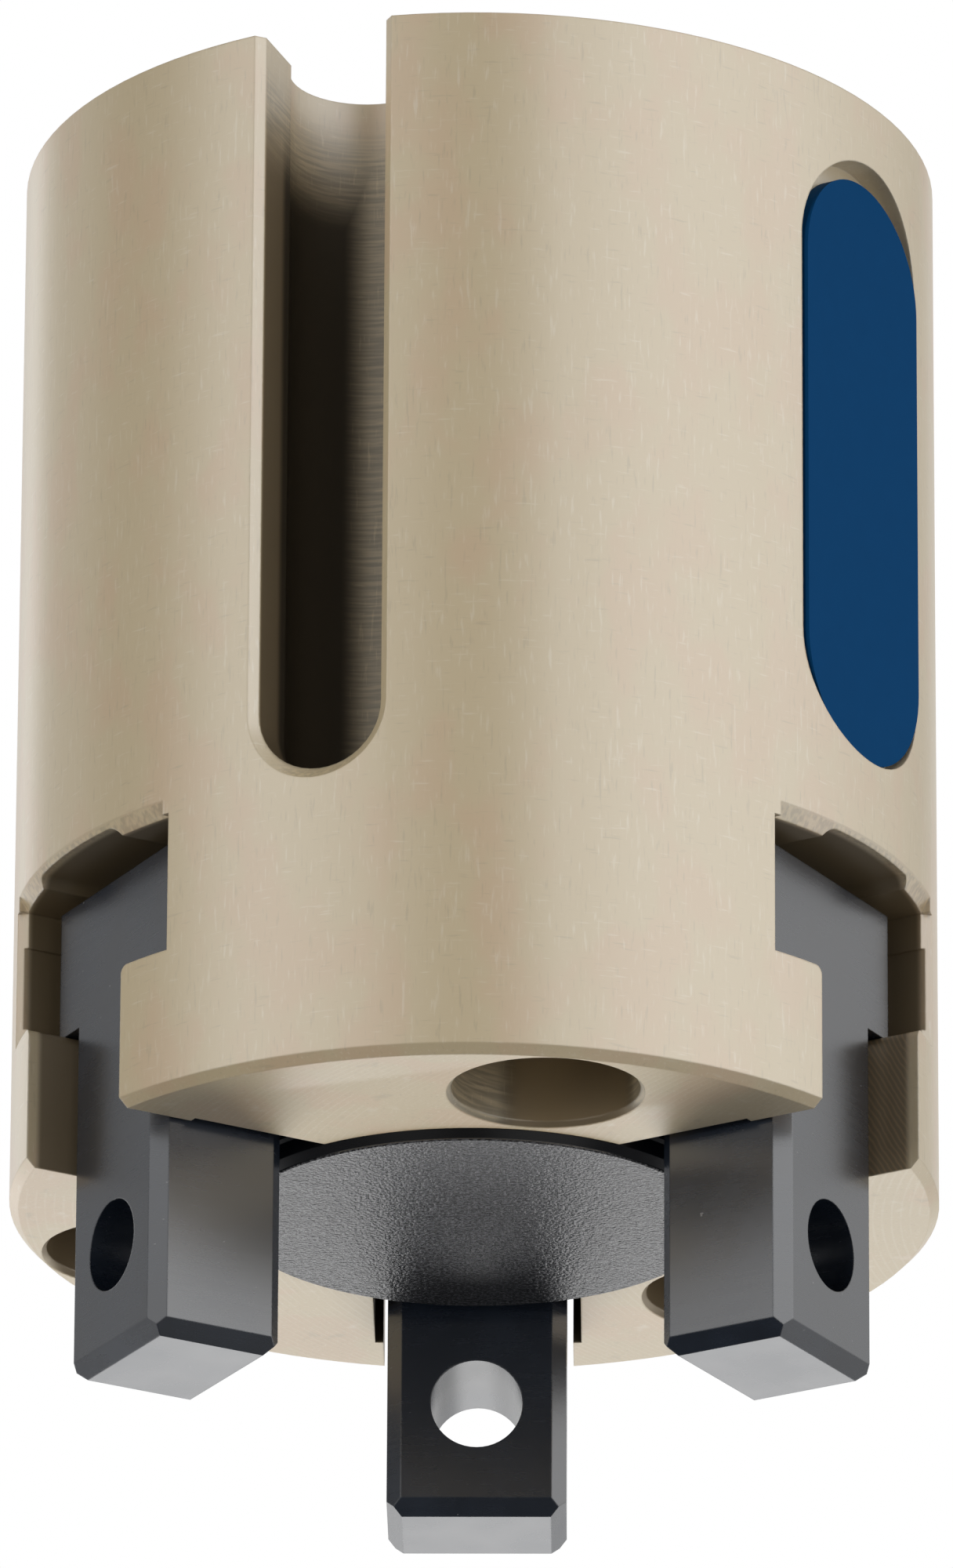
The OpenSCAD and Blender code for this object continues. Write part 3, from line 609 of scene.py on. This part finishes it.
class ThreadSize(PropertyGroup):
    """Threads of the air ports and the puller hole."""

    port_pitch: FloatProperty(
        name="Port pitch", description="Thread pitch of the air ports", unit="LENGTH",
        default=0.8 * MM, min=0.2 * MM,
    )
    puller_radius: FloatProperty(
        name="Puller radius", description="Radius of the tapping bore for the puller", unit="LENGTH",
        default=1.25 * MM, min=0.5 * MM,
    )
    puller_depth: FloatProperty(
        name="Puller depth", description="Depth of the puller hole's thread", unit="LENGTH",
        default=2.4 * MM, min=0.5 * MM,
    )
    puller_inset: FloatProperty(
        name="Puller inset", description="Distance from the cover's face to the puller thread",
        unit="LENGTH", default=0.2 * MM, min=0,
    )
    puller_pitch: FloatProperty(
        name="Puller pitch", description="Thread pitch of the puller hole", unit="LENGTH",
        default=0.5 * MM, min=0.2 * MM,
    )
    ridge: FloatProperty(
        name="Ridge", description="Height of the thread ridges inside the tapping bore", unit="LENGTH",
        default=0.1 * MM, min=0.01 * MM,
    )


class StudioSettings(PropertyGroup):
    """Floor, light tent, lamps and camera."""

    floor_half: FloatProperty(
        name="Floor half width", description="Half the width of the floor", unit="LENGTH",
        default=4.0, min=0.5,
    )
    tent_strength: FloatProperty(
        name="Tent strength", description="Light of the tent round the gripper", default=0.9, min=0,
    )
    lamp_power: FloatProperty(
        name="Lamp power", description="Power of the key lamp", unit="POWER", default=2.0, min=0,
    )
    camera_heading: FloatProperty(
        name="Camera heading", description="Turn of the view about the gripper axis", subtype="ANGLE",
        default=math.radians(0.76),
    )
    camera_drop: FloatProperty(
        name="Camera drop", description="Angle of the view below the horizon", subtype="ANGLE",
        default=math.radians(21.83),
    )
    camera_roll: FloatProperty(
        name="Camera roll", description="Turn of the picture; half a turn puts the jaws at the bottom",
        subtype="ANGLE", default=math.radians(180.31),
    )
    camera_distance: FloatProperty(
        name="Camera distance", description="Distance from the aim point to the camera", unit="LENGTH",
        default=740.4 * MM, min=0.1,
    )
    aim_height: FloatProperty(
        name="Aim height", description="Height of the aim point on the gripper axis", unit="LENGTH",
        default=31.15 * MM,
    )
    lens: FloatProperty(
        name="Lens", description="Focal length in millimetres", default=347.42, min=10,
    )


# Operators


class GRIPPER_OT_housing(Operator):
    """Gives the housing and the rear cover their anodised finish"""

    bl_idname = "gripper.housing"
    bl_label = "Finish Housing"

    def execute(self, context):
        material = anodised_aluminium(context.scene.gripper_housing)
        coat_nodes(material, "housing", "rear_cover")
        return {"FINISHED"}


class GRIPPER_OT_jaws(Operator):
    """Gives the three jaws their black oxide finish"""

    bl_idname = "gripper.jaws"
    bl_label = "Finish Jaws"

    def execute(self, context):
        material = black_steel(context.scene.gripper_jaws)
        coat_nodes(material, "jaw_a", "jaw_b", "jaw_c")
        return {"FINISHED"}


class GRIPPER_OT_cap(Operator):
    """Gives the centre cap its grain"""

    bl_idname = "gripper.cap"
    bl_label = "Finish Cap"

    def execute(self, context):
        coat_nodes(grained_plastic(context.scene.gripper_cap), "centre_cap")
        return {"FINISHED"}


class GRIPPER_OT_plate(Operator):
    """Gives the name plate its plain blue"""

    bl_idname = "gripper.plate"
    bl_label = "Finish Name Plate"

    def execute(self, context):
        coat_nodes(blue_plate(context.scene.gripper_plate), "name_plate")
        return {"FINISHED"}


class GRIPPER_OT_drive(Operator):
    """Gives the piston, the wedge hook and what guides them their finishes"""

    bl_idname = "gripper.drive"
    bl_label = "Finish Drive"

    def execute(self, context):
        coat_nodes(turned_metal("plain_aluminium", (0.72, 0.72, 0.73), 0.22), "piston")
        coat_nodes(turned_metal("hardened_steel", (0.36, 0.36, 0.38), 0.2), "wedge_hook")
        coat_nodes(turned_metal("bronze", (0.5, 0.33, 0.17), 0.3), "rod_bush")
        coat_nodes(moulded("guide_plastic", (0.25, 0.15, 0.08), 0.45), "piston_guide_ring")
        coat_nodes(moulded("magnet", (0.1, 0.1, 0.11), 0.5, 2000.0), "piston_magnet")
        return {"FINISHED"}


class GRIPPER_OT_small_parts(Operator):
    """Gives the rings, screws and seals their finishes"""

    bl_idname = "gripper.small_parts"
    bl_label = "Finish Small Parts"

    def execute(self, context):
        spring = turned_metal("spring_steel", (0.25, 0.25, 0.26), 0.3, (2500.0, 2500.0, 2500.0))
        coat_nodes(spring, "cover_retaining_ring", "seal_retaining_ring", "seal_washer")
        screw = turned_metal("black_screw_steel", (0.07, 0.07, 0.075), 0.3, (2500.0, 2500.0, 2500.0))
        coat_nodes(screw, "piston_screw", "direct_port_screws")
        rubber = moulded("seal_rubber", (0.018, 0.018, 0.019), 0.5)
        coat_nodes(
            rubber, "cover_o_ring", "rear_bumper", "front_bumper", "piston_seal", "spigot_o_ring",
            "rod_seal", "direct_port_o_rings",
        )
        return {"FINISHED"}


class GRIPPER_OT_threads(Operator):
    """Puts the thread ridges into the air ports and the puller hole"""

    bl_idname = "gripper.threads"
    bl_label = "Cut Threads"

    def execute(self, context):
        size = context.scene.gripper_threads
        material = bpy.data.materials["anodised_aluminium"]
        for name in ("air_port_low", "air_port_up"):
            mount = MOUNTS[name]
            depth = 0.8 * mount["dims"]["length_mm"] * MM
            axis = Vector(mount["axis"])
            mouth = Vector(mount["pos_m"]) + axis * depth / 2
            bore_r = mount["dims"]["r_mm"] * MM
            mesh = thread_ridge(name + "_thread", mouth, axis, bore_r, size.ridge, size.port_pitch, depth)
            add_piece(name + "_thread", mesh, material, "gripper_body")
        mouth = (0.0, 0.0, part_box("rear_cover")[0].z + size.puller_inset)
        mesh = thread_ridge(
            "puller_hole_thread", mouth, (0, 0, -1), size.puller_radius, size.ridge, size.puller_pitch,
            size.puller_depth,
        )
        add_piece("puller_hole_thread", mesh, material, "gripper_body")
        return {"FINISHED"}


class GRIPPER_OT_stage(Operator):
    """Sets up the floor, the light tent, the lamps and the camera"""

    bl_idname = "gripper.stage"
    bl_label = "Set Stage"

    def execute(self, context):
        studio = context.scene.gripper_studio
        add_floor(studio.floor_half)
        add_tent(context.scene, studio.tent_strength)
        for name, place, size, share in LAMPS:
            add_lamp(name, place, size, studio.lamp_power * share)
        add_camera(context.scene, studio)
        context.scene.view_settings.view_transform = "Standard"
        return {"FINISHED"}


# Stage


def add_floor(half):
    """A plain white floor at the mounting face. It isn't mirrored, and from below it is clear."""
    material, graph = new_material("floor_white")
    glow = graph.node("ShaderNodeEmission", {"Color": (1, 1, 1, 1), "Strength": 1.0})
    paint = graph.node("ShaderNodeBsdfDiffuse", {"Color": (0.85, 0.85, 0.85, 1)})
    seen = graph.node("ShaderNodeLightPath").outputs["Is Camera Ray"]
    both = graph.node("ShaderNodeMixShader", {0: seen, 1: paint.outputs[0], 2: glow.outputs[0]})
    below = graph.times(graph.node("ShaderNodeNewGeometry").outputs["Backfacing"], seen)
    clear = graph.node("ShaderNodeBsdfTransparent")
    whole = graph.node("ShaderNodeMixShader", {0: below, 1: both.outputs[0], 2: clear.outputs[0]})
    graph.node("ShaderNodeOutputMaterial", {"Surface": whole.outputs[0]})
    corners = np.array([[-half, -half, 0], [half, -half, 0], [half, half, 0], [-half, half, 0]])
    mesh = bpy.data.meshes.new("floor")
    mesh.from_pydata(corners, [], [(0, 1, 2, 3)])
    mesh.materials.append(material)
    floor = bpy.data.objects.new("floor", mesh)
    bpy.context.scene.collection.objects.link(floor)
    floor.visible_glossy = False
    floor.visible_diffuse = False


# Lamps: name, place in metres, width in metres and power as a share of the lamp power
LAMPS = (
    ("key_lamp", (0.85, -0.4, 0.1), 0.5, 1.0),
    ("fill_lamp", (0.49, -0.81, 0.05), 0.25, 0.9),
    ("back_lamp", (0.0, 0.6, 0.8), 0.5, 2.7),
)
# Light of the tent by the direction round the axis, in degrees from the camera's side towards +X
TENT_LIGHT = (
    (-180, 1.0), (-164, 1.0), (-150, 0.5), (-120, 0.9), (-92, 1.3), (-70, 1.65), (-45, 1.7), (-28, 1.55),
    (-16, 0.7), (-6, 0.07), (6, 0.03), (14, 0.3), (26, 0.8), (48, 1.12), (60, 1.15), (70, 0.8), (80, 0.25),
    (90, 0.08), (104, 0.1), (118, 0.5), (130, 0.45), (140, 0.75), (150, 1.8), (164, 1.0), (180, 1.0),
)
# How the tent changes with the upward share of a direction, from where a change begins to where it is
# whole: it dims overhead and below, and behind the gripper it has a bright panel.
DIM_OVERHEAD, DIM_OVERHEAD_BY = (0.25, 0.65), 0.9
DIM_BELOW, DIM_BELOW_BY = (-0.5, -0.8), 0.5
PANEL_BOTTOM, PANEL_TOP = (0.22, 0.32), (0.6, 0.45)
PANEL_BACKWARDS = (0.6, 0.75)
PANEL_LIGHT = 1.5


def add_tent(scene, strength):
    """A tent of soft upright bands with a panel behind, as the world. The camera sees it plain white."""
    world = bpy.data.worlds.new("tent")
    scene.world = world
    world.use_nodes = True
    graph = Graph(world.node_tree)
    direction = graph.node("ShaderNodeTexCoord").outputs["Generated"]
    axes = graph.node("ShaderNodeSeparateXYZ", {0: direction}).outputs
    rise, backwards = axes["Z"], axes["Y"]
    turn = graph.math("ARCTAN2", axes["X"], graph.times(backwards, -1.0))
    place = graph.plus(graph.math("DIVIDE", turn, 2 * math.pi), 0.5)
    ramp = graph.node("ShaderNodeValToRGB", {0: place})
    bands = ramp.color_ramp
    bands.interpolation = "EASE"
    brightest = max(light for _, light in TENT_LIGHT)
    while len(bands.elements) > 1:
        bands.elements.remove(bands.elements[0])
    for index, (angle, light) in enumerate(TENT_LIGHT):
        stop = bands.elements[0] if index == 0 else bands.elements.new(angle / 360 + 0.5)
        stop.position = angle / 360 + 0.5
        stop.color = (light / brightest,) * 3 + (1.0,)
    overhead = graph.times(graph.step(rise, *DIM_OVERHEAD), DIM_OVERHEAD_BY)
    below = graph.times(graph.step(rise, *DIM_BELOW), DIM_BELOW_BY)
    panel = graph.times(graph.step(rise, *PANEL_BOTTOM), graph.step(rise, *PANEL_TOP))
    panel = graph.times(panel, graph.step(backwards, *PANEL_BACKWARDS), PANEL_LIGHT)
    level = graph.plus(graph.rest(graph.plus(overhead, below)), panel)
    level = graph.times(level, strength * brightest)
    glow = graph.node("ShaderNodeBackground", {"Color": ramp.outputs[0], "Strength": level})
    plain = graph.node("ShaderNodeBackground", {"Color": (1, 1, 1, 1), "Strength": 1.0})
    seen = graph.node("ShaderNodeLightPath").outputs["Is Camera Ray"]
    both = graph.node("ShaderNodeMixShader", {0: seen, 1: glow.outputs[0], 2: plain.outputs[0]})
    graph.node("ShaderNodeOutputWorld", {"Surface": both.outputs[0]})


def add_lamp(name, place, size, power):
    """A square soft lamp that faces the middle of the housing and shows in no reflection."""
    data = bpy.data.lights.new(name, "AREA")
    data.shape = "SQUARE"
    data.size = size
    data.energy = power
    lamp = bpy.data.objects.new(name, data)
    lamp.location = place
    aim = Vector((0, 0, BODY_H / 2)) - lamp.location
    lamp.rotation_euler = aim.to_track_quat("-Z", "Y").to_euler()
    bpy.context.scene.collection.objects.link(lamp)
    lamp.visible_camera = False
    lamp.visible_glossy = False


def add_camera(scene, studio):
    """A long lens that looks down on the front face, turned so that the jaws hang in the picture."""
    heading, drop = studio.camera_heading, studio.camera_drop
    look = Vector((
        math.sin(heading) * math.cos(drop),
        math.cos(heading) * math.cos(drop),
        -math.sin(drop),
    ))
    data = bpy.data.cameras.new("camera")
    data.lens = studio.lens
    data.clip_start, data.clip_end = 0.05, 20.0
    camera = bpy.data.objects.new("camera", data)
    level = look.to_track_quat("-Z", "Y")
    turned = level.to_matrix().to_4x4() @ Matrix.Rotation(studio.camera_roll, 4, "Z")
    aim = Vector((0.0, 0.0, studio.aim_height))
    camera.matrix_world = Matrix.Translation(aim - look * studio.camera_distance) @ turned
    scene.collection.objects.link(camera)
    scene.camera = camera


class GRIPPER_PT_panel(Panel):
    """Lists the settings and the steps of the gripper"""

    bl_label = "Gripper"
    bl_idname = "GRIPPER_PT_panel"
    bl_space_type = "VIEW_3D"
    bl_region_type = "UI"
    bl_category = "Gripper"

    def draw(self, context):
        for group, steps in STEPS.items():
            box = self.layout.box()
            if group:
                settings = getattr(context.scene, group)
                for name in settings.__annotations__:
                    box.prop(settings, name)
            for step in steps:
                box.operator(step.bl_idname)


STEPS = {
    "gripper_housing": (GRIPPER_OT_housing,),
    "gripper_jaws": (GRIPPER_OT_jaws,),
    "gripper_cap": (GRIPPER_OT_cap,),
    "gripper_plate": (GRIPPER_OT_plate,),
    "": (GRIPPER_OT_drive, GRIPPER_OT_small_parts),
    "gripper_threads": (GRIPPER_OT_threads,),
    "gripper_studio": (GRIPPER_OT_stage,),
}
GROUPS = {
    "gripper_housing": HousingFinish,
    "gripper_jaws": JawFinish,
    "gripper_cap": CapFinish,
    "gripper_plate": PlateFinish,
    "gripper_threads": ThreadSize,
    "gripper_studio": StudioSettings,
}
OPERATORS = tuple(step for steps in STEPS.values() for step in steps)


def register():
    """Registers the settings, the operators and the panel."""
    for name, group in GROUPS.items():
        bpy.utils.register_class(group)
        setattr(bpy.types.Scene, name, PointerProperty(type=group))
    for cls in (*OPERATORS, GRIPPER_PT_panel):
        bpy.utils.register_class(cls)


def unregister():
    """Takes the panel, the operators and the settings away again."""
    for cls in (GRIPPER_PT_panel, *reversed(OPERATORS)):
        bpy.utils.unregister_class(cls)
    for name, group in GROUPS.items():
        delattr(bpy.types.Scene, name)
        bpy.utils.unregister_class(group)


def main():
    """Runs every step in order."""
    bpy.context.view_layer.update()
    register()
    for step in OPERATORS:
        area, name = step.bl_idname.split(".")
        getattr(getattr(bpy.ops, area), name)()


if __name__ == "__main__":
    main()
